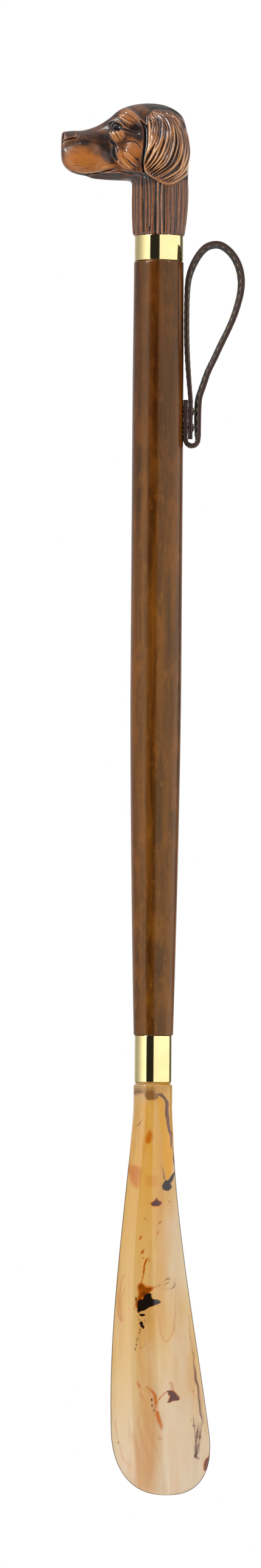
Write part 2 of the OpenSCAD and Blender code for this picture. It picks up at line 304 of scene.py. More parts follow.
def horn_acrylic():
    """Translucent horn effect: honey body with soft veils, rusty stains, ragged black flecks and a
    painted shade where the stud's bore shows through.
    """
    p = Paint("horn_acrylic")
    height = p.stored("height")
    veil = p.noise(55, 5, 0.6, stretch=(1, 1, 0.1), distortion=0.5)
    cloud = p.noise(42, 4, 0.5, stretch=(1, 1, 0.4))
    grain = p.noise(230, 5, 0.6, stretch=(1, 1, 0.05), distortion=0.6)
    ragged = p.noise(420, 4, 0.6)
    body = p.over(rgb(252, 228, 196), (250, 208, 132), height, 0.02, 0.4)
    body = p.over(body, (246, 186, 74), height, 0.4, 0.95)
    body = p.over(body, (228, 156, 54), veil, 0.42, 0.68, 0.55)
    body = p.over(body, (206, 140, 62), grain, 0.5, 0.72, 0.3)
    body = p.over(body, (250, 228, 180), grain, 0.46, 0.28, 0.25)
    body = p.over(body, (252, 238, 214), cloud, 0.48, 0.7, 0.5)
    body = p.over(body, (255, 184, 22), p.stored("amber"), 0.0, 1.0)
    jag = p.times(p.math("SUBTRACT", ragged, 0.5), 0.7)
    rust = p.stored("rust")
    rusty = p.plus(rust, p.times(p.ramp(rust, 0.6, 1.0), jag))
    body = p.over(body, (222, 118, 4), rusty, 0.0, 0.75)
    body = p.over(body, (92, 26, 4), rusty, 0.6, 1.05)
    # The dark field holds black flecks and also the painted shade of the stud's bore.
    dark = p.stored("dark")
    darker = p.plus(dark, p.times(p.ramp(dark, 0.65, 0.95), jag))
    body = p.over(body, (104, 48, 16), darker, 0.08, 0.75)
    body = p.over(body, (30, 18, 12), darker, 0.7, 1.0)
    p.set(Base_Color=p.blend(p.times(p.stored("rim"), 0.8), body, rgb(64, 46, 42)))
    p.set(Roughness=p.plus(p.times(veil, 0.05), 0.1))
    p.set(Normal=p.bump(p.noise(55, 3, 0.5, stretch=(1, 1, 0.3)), 0.05, 0.0006))
    p.set(Transmission_Weight=0.3, IOR=1.5, Coat_Weight=0.45, Coat_Roughness=0.02)
    p.set(Subsurface_Weight=0.3, Subsurface_Radius=(0.004, 0.0025, 0.0012), Subsurface_Scale=1.0)
    return p.material


def leather(name, base, worn, pebble):
    """Grain leather: pebbled, darker in its creases and a little worn where it stands proud."""
    p = Paint(name)
    cells = p.node("TexVoronoi", {"Vector": p.place(coords="UV"), "Scale": pebble})
    cracks = cells.outputs["Distance"]
    fibre = p.noise(1.6 * pebble, 5, 0.65, coords="UV")
    wear = p.stored("wear")
    lifted = p.plus(wear, p.times(p.math("SUBTRACT", fibre, 0.5), 0.9))
    p.set(Base_Color=p.blend(p.ramp(lifted, 0.25, 1.0), base, worn))
    p.set(Roughness=p.plus(p.times(fibre, 0.25), 0.38))
    p.set(Normal=p.bump(p.plus(cracks, p.times(fibre, 0.5)), 0.35, 0.00018))
    p.set(Specular_IOR_Level=0.3)
    return p.material


def thread_fibre():
    """Waxed tan thread with its twist."""
    p = Paint("thread")
    twist = p.node("TexWave", {"Vector": p.place(), "Scale": 900.0, "Distortion": 2.0},
                   bands_direction="DIAGONAL").outputs["Fac"]
    tint = p.noise(700, 4, 0.6)
    p.set(Base_Color=p.over(rgb(176, 140, 98), (222, 192, 146), tint, 0.3, 0.7))
    p.set(Roughness=0.7, Normal=p.bump(p.plus(twist, tint), 0.4, 0.00012))
    return p.material


RESIN = cast_resin()
WOOD = stained_wood()
BRASS = polished_brass()
INSERT_BRASS = plain_metal("insert_brass", (0.80, 0.64, 0.30, 1), (0.62, 0.46, 0.20, 1), 0.25)
NAIL_BRASS = plain_metal("nail_brass", (0.30, 0.23, 0.13, 1), (0.16, 0.12, 0.07, 1), 0.25)
STEEL = plain_metal("stud_steel", (0.62, 0.62, 0.63, 1), (0.42, 0.41, 0.40, 1), 0.2)
HORN = horn_acrylic()
OUTER_LEATHER = leather("strap_leather", rgb(34, 20, 18), rgb(74, 52, 46), 1500)
LINING_LEATHER = leather("lining_leather", rgb(26, 20, 18), rgb(52, 42, 38), 2200)
EDGE_LEATHER = leather("strap_edge", rgb(36, 22, 20), rgb(96, 72, 64), 2600)
THREAD = thread_fibre()

# ---------------------------------------------------------------- camera, light and floor

VIEW_CENTRE = at(-11.25, 0, 349.85)
VIEW_DISTANCE = 4.4
VIEW_PITCH = math.radians(1.6)
VIEW_ROLL = math.radians(-0.42)
VIEW_LENS = 204.9


def make_camera():
    camera = add_object("camera", bpy.data.cameras.new("camera"))
    camera.data.sensor_width = 36
    camera.data.lens = VIEW_LENS
    camera.data.clip_end = 100
    towards = Vector((0, math.cos(VIEW_PITCH), math.sin(VIEW_PITCH)))
    camera.location = VIEW_CENTRE - towards * VIEW_DISTANCE
    camera.rotation_euler = (math.pi / 2 + VIEW_PITCH, VIEW_ROLL, 0)
    bpy.context.scene.camera = camera


# Brightness of the studio all round the shoehorn: azimuth in degrees, 0 behind the camera and
# positive to its right, and radiance. A dark gap stands between the two softboxes.
STUDIO = [
    (-180, 0.7), (-125, 0.35), (-100, 0.5), (-66, 1.1), (-44, 1.35), (-42.5, 0.02), (2, 0.02),
    (4, 1.0), (50, 1.1), (118, 1.1), (124, 0.12), (150, 0.12), (156, 0.75), (180, 0.75),
]
DIFFUSE_LEVEL = 0.66
GLOSSY_LEVEL = 1.15
FLOOR_RADIUS = 0.2
FLOOR_DROP = 60


def area_light(name, azimuth, elevation, distance, size, radiance):
    """A softbox that faces the shoehorn, placed as the studio's azimuths are counted."""
    data = bpy.data.lights.new(name, "AREA")
    data.shape, data.size, data.size_y = "RECTANGLE", size[0], size[1]
    data.energy = radiance * math.pi * size[0] * size[1]
    lamp = add_object(name, data)
    a, e = math.radians(azimuth), math.radians(elevation)
    away = Vector((math.sin(a) * math.cos(e), -math.cos(a) * math.cos(e), math.sin(e)))
    lamp.location = VIEW_CENTRE + away * distance
    lamp.rotation_euler = away.to_track_quat("Z", "Y").to_euler()
    lamp.visible_camera = False
    return lamp


def make_world():
    """White behind the shoehorn, with the studio's softboxes and dark gap lighting it."""
    world = bpy.data.worlds.new("studio")
    bpy.context.scene.world = world
    world.use_nodes = True
    w = Nodes(world.node_tree)
    w.tree.nodes.clear()
    direction = w.node("SeparateXYZ", {0: w.node("TexCoord").outputs["Generated"]}).outputs
    azimuth = w.math("ARCTAN2", direction["X"], w.times(direction["Y"], -1.0))
    ramp = w.node("ValToRGB", {0: w.plus(w.times(azimuth, 1 / (2 * math.pi)), 0.5)})
    stops = ramp.color_ramp.elements
    for degrees, _ in STUDIO[1:-1]:
        stops.new(degrees / 360 + 0.5)
    for stop, (_, level) in zip(stops, STUDIO):
        stop.color = (level / 2, level / 2, level / 2, 1)
    steepness = w.node("Math", {0: direction["Z"]}, operation="ABSOLUTE").outputs[0]
    even = w.blend(w.ramp(steepness, 0.8, 0.98), ramp.outputs[0], (0.5, 0.5, 0.5, 1))
    paths = w.node("LightPath").outputs
    less = w.times(paths["Is Diffuse Ray"], 2 * (DIFFUSE_LEVEL - GLOSSY_LEVEL))
    studio = w.node("Background", {0: even, 1: w.plus(less, 2 * GLOSSY_LEVEL)}).outputs[0]
    backdrop = w.node("Background", {0: (1, 1, 1, 1), 1: 1.0}).outputs[0]
    mixed = w.node("MixShader", {0: paths["Is Camera Ray"], 1: studio, 2: backdrop}).outputs[0]
    w.node("OutputWorld", {0: mixed})


def make_stage():
    bpy.context.scene.view_settings.view_transform = "Standard"
    make_world()
    p = Paint("pale_floor")
    tint = p.noise(3, 2, 0.5)
    p.set(Base_Color=p.blend(tint, (0.93, 0.93, 0.93, 1), (0.97, 0.97, 0.97, 1)), Roughness=0.9)
    sides = 64
    turns = [2 * math.pi * i / sides for i in range(sides)]
    floor_mesh = bpy.data.meshes.new("floor")
    rim = [(FLOOR_RADIUS * math.cos(a), FLOOR_RADIUS * math.sin(a), 0) for a in turns]
    floor_mesh.from_pydata(rim, [], [tuple(range(sides))])
    floor_mesh.materials.append(p.material)
    floor = add_object("floor", floor_mesh)
    floor.location = at(0, 0, -FLOOR_DROP)
    area_light("left_key", -58, 30, 2.4, (0.3, 0.55), 50)
    area_light("left_glints", -50, 46, 2.4, (0.5, 0.9), 12).visible_diffuse = False
    area_light("right_fill", 52, 36, 2.6, (0.25, 0.45), 26)


make_camera()
make_stage()

# ---------------------------------------------------------------- dog's head

# Sections of the head from neck to nose: x and height above the collar of the front or lower
# outline, the same of the back or upper outline, half the width, and how square the section is.
HEAD_SECTIONS = [
    (-12.3, 0, 12.3, 0, 12.2, 2), (-12.8, 2, 12.7, 2, 12.5, 2), (-13.2, 9.4, 13.6, 9.4, 12.6, 2),
    (-13.3, 17, 14.2, 18, 12.6, 2), (-13.3, 24, 14.2, 27.5, 12.7, 2.05),
    (-14.2, 26.6, 14.4, 35, 12.7, 2.1), (-16, 27.2, 15.1, 42, 12.7, 2.1),
    (-18.5, 27.3, 13.6, 51.5, 12.4, 2.1), (-21, 27.4, 10.9, 59.5, 11.6, 2.1),
    (-23.5, 27.5, 4.5, 64, 10.4, 2.15), (-26, 27.6, -4, 65.7, 9.2, 2.2),
    (-28.5, 27.8, -13, 64.9, 8.4, 2.3), (-31, 28, -20, 62.3, 7.8, 2.4),
    (-33.5, 28.4, -25.5, 57.8, 7.3, 2.5), (-36.5, 29.5, -31, 54.4, 7.1, 2.5),
    (-40, 30.2, -37, 52.3, 6.8, 2.5), (-43.5, 31.3, -42.5, 51.7, 6.2, 2.5),
    (-46.6, 33.6, -46.4, 51.3, 5.4, 2.5), (-48.3, 36.5, -48.2, 50.7, 4.4, 2.4),
    (-48.75, 39.5, -48.75, 48.5, 2.8, 2.2),
]
HEAD_RINGS = 15
HEAD_SIDES = 320

# Locks of carved hair. Each fan runs between guide curves, which like every path below are
# x, height above the collar, x, height, and so on, in millimetres.
EAR_GUIDES = [
    [-5.9, 57.8, -5, 52.7, -4.6, 47.5, -5.4, 42.4, -6.8, 37.6, -7.4, 33.6],
    [-4.6, 59.2, -1.6, 55.4, -1.5, 50.4, -2.9, 45.4, -4.8, 40.4, -7, 35.4],
    [-3.6, 60.4, 1.4, 56.6, 2.6, 50.6, 1.3, 43.6, -1.5, 36.6, -6, 31.2],
    [0.4, 60.8, 5, 55.6, 7.2, 49.4, 7.2, 42.4, 4.2, 35, -3.4, 28.4],
    [3.2, 60.2, 8, 54.4, 11.1, 47.4, 11.6, 40.2, 8.6, 32.4, 0, 26],
    [6.4, 58.6, 11.6, 51.6, 14, 44.8, 13.9, 37.4, 10.2, 29.8, 3.6, 25],
]
BROW_GUIDES = [
    [-21.4, 58.2, -18.6, 56.2, -14.2, 53.6],
    [-19.6, 60.2, -15.6, 57.8, -11.2, 54.2],
    [-16.4, 62, -12.2, 59.6, -9.2, 55.4],
]
UNDER_EYE_GUIDES = [
    [-24.4, 50.6, -23.4, 48, -21.2, 45],
    [-22, 51.4, -20.6, 49.2, -19, 46.2],
    [-19.6, 51.4, -18.2, 49.6, -17.8, 47.6],
]
CHEEK_GUIDES = [
    [-21.6, 43.4, -20.6, 39.4, -17.6, 34.9, -12.6, 31],
    [-19.6, 42.8, -17.4, 38.8, -14.2, 35.4, -11, 32],
    [-16.6, 40.4, -14, 38, -11.4, 36.2, -9.2, 34.2],
]
JOWL_GUIDES = [
    [-21.4, 36.4, -18.4, 33.2, -13.6, 31],
    [-19.6, 38, -16.4, 34.2, -12, 31.4],
]
CAP_GUIDES = [
    [-3, 62, 3.6, 62.4, 9, 58.6, 12.8, 51],
    [-5.5, 64.6, 3.6, 64.6, 10.2, 60.4, 13.8, 52],
]
WHISKER_GUIDES = [
    [-44.6, 43.6, -40.6, 40.6, -34.8, 38.2, -28.6, 38],
    [-43.4, 36.8, -40, 34.6, -35, 34, -28.6, 34.8],
]
# Grooves of the face: depth, half width and path. The first is a raised line, the eyelid,
# and then come the creases of the eye and cheek, the mouth, the jaw, the nose and whiskers.
GROOVES = [
    (-0.5, 0.5, -24.6, 52.4, -23.8, 54.8, -22, 56, -19.8, 55.2, -17.4, 53.2, -15, 51.8),
    (0.7, 0.65, -24.6, 52.2, -22, 51.8, -19.4, 52.2, -16.4, 51.6, -13, 50.2, -10.4, 49.8),
    (0.4, 0.45, -17.2, 45, -13.8, 46, -10.7, 44.4, -8.8, 41.4),
    (0.35, 1.6, -24.6, 46.6, -22.4, 44, -22.8, 40, -20.8, 36.4),
    (0.75, 0.7, -43.4, 31.6, -39.5, 30.4, -35.4, 29.9, -30.7, 30.4, -26.3, 31.5, -21.8, 32.4),
    (0.45, 0.8, -20, 31.4, -14.6, 30.2, -9.6, 29.6, -5.6, 27.4),
    (0.55, 0.42, -40.7, 51.4, -40.9, 48.2, -43.6, 47.5, -46.4, 46.8, -49.2, 44.6),
    (0.8, 0.5, -47.5, 49.8, -48, 47.4, -48.4, 45.6),
    (0.25, 0.4, -41.6, 45.9, -39.4, 45),
    (0.2, 0.3, -42, 34.6, -37.9, 34.2),
]
EAR_GROOVE = [-9.4, 56, -7.2, 52.6, -6.9, 46, -7.6, 40, -8.3, 35, -8, 30.6]
EAR_EDGE = [
    -6, 58.5, -5.6, 50, -5.6, 43, -7.4, 35, -6.6, 30.4, -1.5, 26.2, 4.5, 24, 10.5, 27, 14.6, 32,
    17, 39, 17, 46, 14.4, 52.4, 9.4, 58.6, 3.4, 61.6, -3, 61.6,
]
NOSE_PAD = [-49.6, 52.2, -41.2, 52, -41.4, 48.3, -44.4, 47.7, -46.6, 47.2, -47.8, 50]
# Where the stain lies heavier or lighter, with painted shade on the top and back of the head:
# middle, half lengths, turn in degrees and amount.
STAIN_AND_SHADE_PATCHES = [
    ((-23.5, 53.5), (4.5, 3), -30, -0.5), ((-27, 47), (4, 3.4), 0, -0.22),
    ((-33, 49.4), (7, 2.2), -14, -0.15), ((-10.4, 51.4), (4, 4.6), 20, -0.5),
    ((-25.4, 39), (3.6, 6), 20, -0.24), ((-37.2, 45.4), (2.6, 1.8), 0, -0.2),
    ((-12, 49), (5, 2.4), -20, -0.25), ((-36, 34.6), (11.5, 5.2), -3, 0.42),
    ((-40, 38.6), (7.5, 5), 0, 0.26), ((-12.8, 41.6), (5.2, 4.6), 0, 0.3),
    ((-15, 58), (6.5, 4), -35, 0.22), ((-21, 49), (3.6, 3.2), 0, 0.35),
    ((-17, 36.5), (5.4, 4.2), -40, 0.42), ((-27, 33.6), (5, 2.2), 8, 0.35),
    # The patches at (4, 63.6), (11.5, 57.5) and (-22, 62) are painted shade on the top and back of
    # the head.
    ((-8, 27.5), (8, 3.4), 0, -0.3), ((4, 63.6), (13, 4), -12, -0.45),
    ((11.5, 57.5), (5, 7), -35, -0.4), ((-22, 62), (8, 3), 40, -0.25),
    ((-44.6, 49.6), (3.6, 2), 0, -0.35), ((-13.4, 47.6), (3.2, 1.6), 0, 0.2),
    ((1, 53.5), (5, 7), -20, -0.7), ((13.5, 47), (3.4, 10), 10, -0.6),
    ((5, 40), (2.6, 9), -14, -0.5),
]
MAP_STEP = 0.2
NECK_GIRTH = 2 * math.pi * 12.6


def along(x, z, line):
    """Distance from points to a line, and how far along it the nearest place is, 0 to 1."""
    best = np.full(x.shape, 1e9)
    where = np.zeros(x.shape)
    for i, (a, b) in enumerate(zip(line, line[1:])):
        step = b - a
        t = ((x - a[0]) * step[0] + (z - a[1]) * step[1]) / max(step @ step, 1e-12)
        t = np.clip(t, 0, 1)
        d = np.hypot(x - a[0] - t * step[0], z - a[1] - t * step[1])
        nearer = d < best
        best[nearer] = d[nearer]
        where[nearer] = (i + t[nearer]) / (len(line) - 1)
    return best, where


def inside(x, z, outline, soft):
    """1 well inside a smooth outline, 0 outside it, with a soft edge of this width."""
    corners = np.reshape(outline, (-1, 2))
    line = curve(np.vstack([corners, corners[:1]]), 6)
    crossing = np.zeros(x.shape, int)
    for (ax, az), (bx, bz) in zip(line, line[1:]):
        slope = (bx - ax) / (bz - az) if bz != az else 0.0
        crossing += ((az > z) != (bz > z)) & (x < ax + (z - az) * slope)
    d, _ = along(x, z, line)
    return smooth((np.where(crossing % 2 == 1, d, -d) + soft / 2) / soft)


def dome(x, z, centre, size, turn=0.0):
    """A smooth bulge, 1 at its middle and 0 at its rim."""
    c, s = math.cos(math.radians(turn)), math.sin(math.radians(turn))
    u = ((x - centre[0]) * c + (z - centre[1]) * s) / size[0]
    v = (-(x - centre[0]) * s + (z - centre[1]) * c) / size[1]
    return np.clip(1 - u * u - v * v, 0, 1)


class Carving:
    """A flat map of carved relief in millimetres over two measures, with tools that mark it."""

    def __init__(self, low, high):
        self.low = np.array(low, float)
        across = np.arange(low[0], high[0], MAP_STEP)
        up = np.arange(low[1], high[1], MAP_STEP)
        self.x, self.z = np.meshgrid(across, up, indexing="ij")

    def blank(self):
        return np.zeros(self.x.shape)

    def stamp(self, field, path, width, height, ends=0.9):
        """Lays a round-topped stroke over the field where it is higher than what is there."""
        line = curve(np.reshape(path, (-1, 2)), 6)
        low = np.floor((line.min(0) - width - self.low) / MAP_STEP).astype(int).clip(0)
        high = np.ceil((line.max(0) + width - self.low) / MAP_STEP).astype(int).clip(0) + 1
        here = slice(low[0], high[0]), slice(low[1], high[1])
        d, t = along(self.x[here], self.z[here], line)
        wide = width * np.sin(math.pi * np.clip(t, 0.03, 0.97)) ** ends
        stroke = height * np.clip(1 - (d / wide) ** 2, 0, 1)
        field[here] = np.maximum(field[here], stroke)

    def line(self, path, width, ends=0.4):
        field = self.blank()
        self.stamp(field, path, width, 1.0, ends)
        return field

    def locks(self, guides, count, width, height, wander, rng):
        """A fan of carved locks spaced unevenly between guide curves."""
        guides = np.reshape(guides, (len(guides), -1, 2))
        field = self.blank()
        for i in range(count):
            s = (len(guides) - 1) * np.clip((i + rng.uniform(-0.3, 0.3)) / (count - 1), 0, 1)
            k = min(int(s), len(guides) - 2)
            path = guides[k] + (guides[k + 1] - guides[k]) * (s - k)
            path = path + rng.normal(0, wander, path.shape)
            self.stamp(field, path, width * rng.uniform(0.75, 1.3), height * rng.uniform(0.7, 1.2))
        return field

    def blur(self, field, radius):
        fx = np.fft.fftfreq(field.shape[0], MAP_STEP)[:, None]
        fz = np.fft.rfftfreq(field.shape[1], MAP_STEP)[None, :]
        gain = np.exp(-2 * (math.pi * radius) ** 2 * (fx**2 + fz**2))
        return np.fft.irfft2(np.fft.rfft2(field) * gain, field.shape)

    def ridges(self, field):
        """0 in the grooves, where stain gathers, 1 on the ridges, where it is rubbed off, and above
        1 on the highest, which take a paler colour and a painted highlight.
        """
        fine = (field - self.blur(field, 0.5)) / 0.3
        broad = (field - self.blur(field, 1.8)) / 1.1
        return np.clip(0.5 + 0.75 * fine + 0.5 * broad, 0, 1.4)

    def read(self, field, x, z):
        """Value of the field at points, between the map's cells."""
        u = np.clip((x - self.low[0]) / MAP_STEP, 0, field.shape[0] - 1.001)
        v = np.clip((z - self.low[1]) / MAP_STEP, 0, field.shape[1] - 1.001)
        i, j = u.astype(int), v.astype(int)
        u, v = u - i, v - j
        low = field[i, j] * (1 - v) + field[i, j + 1] * v
        high = field[i + 1, j] * (1 - v) + field[i + 1, j + 1] * v
        return low * (1 - u) + high * u


def side_carving(rng):
    """Both sides of the head: the relief, its ridges, its tone and where the ear lies."""
    c = Carving((-53, -4), (20, 70))
    x, z = c.x, c.z
    ear = inside(x, z, EAR_EDGE, 0.9)
    ear_locks = c.locks(EAR_GUIDES, 20, 0.85, 1.5, 0.32, rng)
    ear_hair = c.locks(EAR_GUIDES, 40, 0.36, 0.35, 0.3, rng)
    brow = dome(x, z, (-15.2, 57.8), (8.2, 5.0), -38)
    brow_hair = c.locks(BROW_GUIDES, 10, 0.6, 0.45, 0.35, rng)
    brow_hair += c.locks(BROW_GUIDES, 14, 0.3, 0.2, 0.2, rng)
    under_eye = c.locks(UNDER_EYE_GUIDES, 7, 0.5, 0.4, 0.25, rng)
    cheek = c.locks(CHEEK_GUIDES, 10, 0.6, 0.45, 0.4, rng)
    jowl = c.locks(JOWL_GUIDES, 4, 0.5, 0.25, 0.3, rng)
    cap = c.locks(CAP_GUIDES, 7, 0.8, 0.3, 0.25, rng)
    whiskers = c.locks(WHISKER_GUIDES, 12, 0.45, 0.09, 0.6, rng)
    ball = dome(x, z, (-12.9, 41.2), (5.0, 4.9), -20)
    flew = dome(x, z, (-36.4, 37.4), (13.5, 9.0), -6)
    raised = 0.5 + 1.6 * smooth((62 - z) / 13)
    skull = ear * (raised + 0.9 * np.sqrt(dome(x, z, (4.5, 43), (13, 19))) + ear_locks + ear_hair)
    eye = dome(x, z, (-22.0, 53.9), (1.35, 1.3))
    face = 0.7 * smooth(brow * 1.2) + brow_hair + under_eye + cheek + jowl + whiskers
    face += 0.3 * smooth(dome(x, z, (-21, 48.6), (4.6, 4.2))) + 0.5 * smooth(ball)
    face += 1.2 * smooth(flew) + 0.5 * inside(x, z, NOSE_PAD, 0.5)
    face += 1.5 * np.sqrt(eye) - 1.6 * dome(x, z, (-21.9, 53.7), (3.9, 2.7), -25)
    face += 0.4 * dome(x, z, (-25.6, 33.6), (4.6, 1.2), 10)
    face -= 0.9 * smooth((30.8 - z) / 1.0) * smooth((-15 - x) / 6)
    for depth, width, *path in GROOVES:
        face -= depth * c.line(path, width)
    groove = 1.3 * c.line(EAR_GROOVE, 1.3)
    relief = skull + (face + cap - groove) * (1 - ear)
    ridge = c.ridges(relief) * (1 - 0.85 * smooth(2 * dome(x, z, (-22.0, 53.9), (1.6, 1.5))))
    tone = 0.42 + 0.26 * ear
    # Stain patches, and painted shade on the top and back of the head, shift the tone.
    for centre, size, turn, amount in STAIN_AND_SHADE_PATCHES:
        wide = size[0] * 1.25, size[1] * 1.25
        tone = tone + amount * smooth(dome(x, z, centre, wide, turn) * 1.2) * (1 - 0.4 * ear)
    tone = tone - 0.05 * smooth((30.5 - z) / 1.0) * smooth((-12 - x) / 6)
    return c, relief, ridge, tone, ear


def neck_carving(rng):
    """Long strands round the neck, over the distance round it and the height above the collar."""
    c = Carving((-NECK_GIRTH / 2 - 4, -3), (NECK_GIRTH / 2 + 4, 34))
    relief = c.blank()
    for count, width, height in ((38, 1.0, 0.7), (64, 0.5, 0.35)):
        for i in range(count):
            place = NECK_GIRTH * ((i + rng.uniform(-0.35, 0.35)) / count - 0.5)
            start = rng.choice([-8.0, -8.0, rng.uniform(-8, 8)])
            heights = np.linspace(start, start + rng.uniform(30, 50), 5)
            sway = place + np.cumsum(rng.normal(0, 0.35, 5))
            wide, tall = width * rng.uniform(0.7, 1.4), height * rng.uniform(0.5, 1.2)
            for lap in (-NECK_GIRTH, 0, NECK_GIRTH):
                if abs(place + lap) < NECK_GIRTH / 2 + 3:
                    c.stamp(relief, np.stack([sway + lap, heights], 1), wide, tall, 0.3)
    return c, relief, c.ridges(relief)


def head_surface(x, y, z):
    """How far out each point of the head stands, its ridge value and its tone."""
    rng = np.random.default_rng(SEED)
    side, *fields = side_carving(rng)
    neck, strands, strand_ridge = neck_carving(rng)
    relief, ridge, tone, ear = (side.read(field, x, z) for field in fields)
    round_neck = np.arctan2(y, x) * NECK_GIRTH / (2 * math.pi)
    throat = smooth((29.5 - z) / 4) * smooth((x + 16.5) / 3) * (1 - ear)
    out = relief * (1 - throat) + throat * (neck.read(strands, round_neck, z) - 0.4)
    ridge = ridge * (1 - throat) + throat * neck.read(strand_ridge, round_neck, z)
    return out, ridge + 0.04 * throat, tone


def dog_head():
    """The carved head, from its bore and tenon round the neck to the nose."""
    sections = curve(HEAD_SECTIONS, HEAD_RINGS)
    angles = np.arange(HEAD_SIDES) * 2 * math.pi / HEAD_SIDES
    power = (2 / sections[:, 5])[:, None]
    reach = np.sign(np.cos(angles)) * np.abs(np.cos(angles)) ** power
    width = np.sign(np.sin(angles)) * np.abs(np.sin(angles)) ** power
    t = 0.5 + 0.5 * reach
    x = sections[:, 0:1] * (1 - t) + sections[:, 2:3] * t
    z = sections[:, 1:2] * (1 - t) + sections[:, 3:4] * t
    y = sections[:, 4:5] * width
    body = np.stack([x, y, z], 2).reshape(-1, 3)
    rings = len(sections)
    faces = ring_faces(rings, HEAD_SIDES, close_low=False)
    probe = bpy.data.meshes.new("probe")
    probe.from_pydata(body.tolist(), [], faces)
    normals = np.array([v.vector for v in probe.vertex_normals])
    bpy.data.meshes.remove(probe)
    out, ridge, tone = head_surface(body[:, 0], body[:, 1], body[:, 2])
    side_on = smooth((np.abs(normals[:, 1]) - 0.05) / 0.5)
    neck = smooth((27 - body[:, 2]) / 4)
    fade = np.maximum(side_on, neck) * smooth(body[:, 2] / 1.5)
    normals[:, 0] *= 1 - 0.75 * (1 - neck) * smooth((body[:, 0] - 1) / 7)
    body = body + normals * (out * fade)[:, None]
    body[:, 2] += HEAD_Z
    inner = [(0.05, 17.5), (6.0, 17.0), (6.0, -5.5), (6.5, -6.0), (TENON_R - 0.4, -6.0),
             (TENON_R, -5.6), (TENON_R, 0.0)]
    hidden = [circle(r, HEAD_Z + h, HEAD_SIDES) for r, h in inner]
    faces = ring_faces(rings + len(inner), HEAD_SIDES)
    piece = make_mesh("dog_head_carving", np.vstack(hidden + [body]), faces, [RESIN])
    middling = np.full(len(inner) * HEAD_SIDES, 0.5)
    store(piece, "ridge", np.concatenate([middling, ridge]))
    store(piece, "tone", np.clip(np.concatenate([middling, tone]), 0, 1))
    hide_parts("dog_head")
    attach(piece, "shaft")


dog_head()

# ---------------------------------------------------------------- shaft and brass fittings

SHAFT_R = (SHAFT_HIGH.x - SHAFT_LOW.x) / MM / 2
SHAFT_TOP_R = 12.3
SHAFT_FOOT_R = 9.75
TAPER = 174  # the length over which the wood narrows towards its foot
SHAFT_LEN = TOP_Z - FOOT_Z


def shaft_radius(h):
    """Radius of the wood at a height above its foot."""
    narrow = max(0, (TAPER - h) / TAPER)
    rise = float(smooth((h - SHAFT_LEN + 70) / 70))
    return SHAFT_R - (SHAFT_R - SHAFT_FOOT_R) * narrow**1.5 - (SHAFT_R - SHAFT_TOP_R) * rise


def shaft_piece():
    """The turned wood, from the bore in its foot round the outside to the bore in its top."""
    edge = 1.1
    profile = [(4.5, FOOT_Z + 9.2), (4.5, FOOT_Z - 11.5), (SPIGOT_R - 0.3, FOOT_Z - 11.8),
               (SPIGOT_R, FOOT_Z - 11.5), (SPIGOT_R, FOOT_Z)]
    profile += corner(shaft_radius(edge) - edge, FOOT_Z + edge, edge, -90)
    for h in np.linspace(3, SHAFT_LEN - 3, 90):
        profile.append((shaft_radius(h), FOOT_Z + h))
    profile += corner(shaft_radius(SHAFT_LEN - edge) - edge, TOP_Z - edge, edge, 0)
    profile += [(TENON_R, TOP_Z), (TENON_R, TOP_Z + 5.7), (TENON_R - 0.3, TOP_Z + 6),
                (6, TOP_Z + 6), (6, TOP_Z - 17)]
    piece = lathe("turned_shaft", profile, WOOD)
    heights = (np.array([z for _, z in profile]) - FOOT_Z) / SHAFT_LEN
    store(piece, "height", np.repeat(np.clip(heights, 0, 1), TURNED_SIDES))
    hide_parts("shaft")
    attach(piece, "shaft")


def brass_band(name, node, r_in, r_out, low, high, edge):
    """A turned ring with eased edges, open through its middle."""
    profile = [(r_in, low + edge), (r_in + edge, low)]
    profile += corner(r_out - edge, low + edge, edge, -90)
    profile += corner(r_out - edge, high - edge, edge, 0)
    profile += [(r_in + edge, high), (r_in, high - edge)]
    piece = lathe(name, profile, BRASS, tube=True)
    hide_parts(node)
    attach(piece, "shaft")


shaft_piece()
brass_band("collar_band", "upper_collar", TENON_R, COLLAR_R, TOP_Z, HEAD_Z, 0.35)
brass_band("ferrule_band", "lower_ferrule", SPIGOT_R, FERRULE_R, FERRULE_Z, FOOT_Z, 0.15)


def threaded_rod(name, node, pitch, depth):
    """A stud with a real helical thread and chamfered ends, in the place of its CAD node."""
    low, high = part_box(node)
    radius = (high.x - low.x) / MM / 2
    z0, z1 = (low.z - TIP_Z) / MM, (high.z - TIP_Z) / MM
    sides, rings = 40, int((z1 - z0) / pitch * 10)
    angles = np.arange(sides) * 2 * math.pi / sides
    points = []
    for z in np.linspace(z0, z1, rings + 1):
        turns = (z - z0) / pitch - angles / (2 * math.pi)
        tooth = np.abs(2 * (turns % 1) - 1)
        end = min(z - z0, z1 - z, 0.8)
        r = np.minimum(radius - 0.02 - depth * tooth, radius - 0.85 + end)
        points.append(circle(r, z, sides))
    piece = make_mesh(name, np.vstack(points), ring_faces(rings + 1, sides), [STEEL])
    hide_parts(node)
    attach(piece, "shaft")


threaded_rod("upper_threaded_rod", "handle_stud", 1.25, 0.7)
threaded_rod("lower_threaded_rod", "blade_stud", 1.0, 0.55)
for insert in ("head_insert", "shaft_top_insert", "shaft_bottom_insert"):
    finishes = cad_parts[insert].data.materials
    finishes.clear()
    finishes.append(INSERT_BRASS)

# ---------------------------------------------------------------- blade

NECK_R = 9.6
BLADE_HALF_W = 24.4
BLADE_T = 2.8
TIP_ROUND = 30
TIP_POWER = 2.45
TIP_DRIFT = 7.8
TIP_BEND = 6
NECK_BASE = 197
BLADE_SIDES = 200
BLADE_RINGS = 370
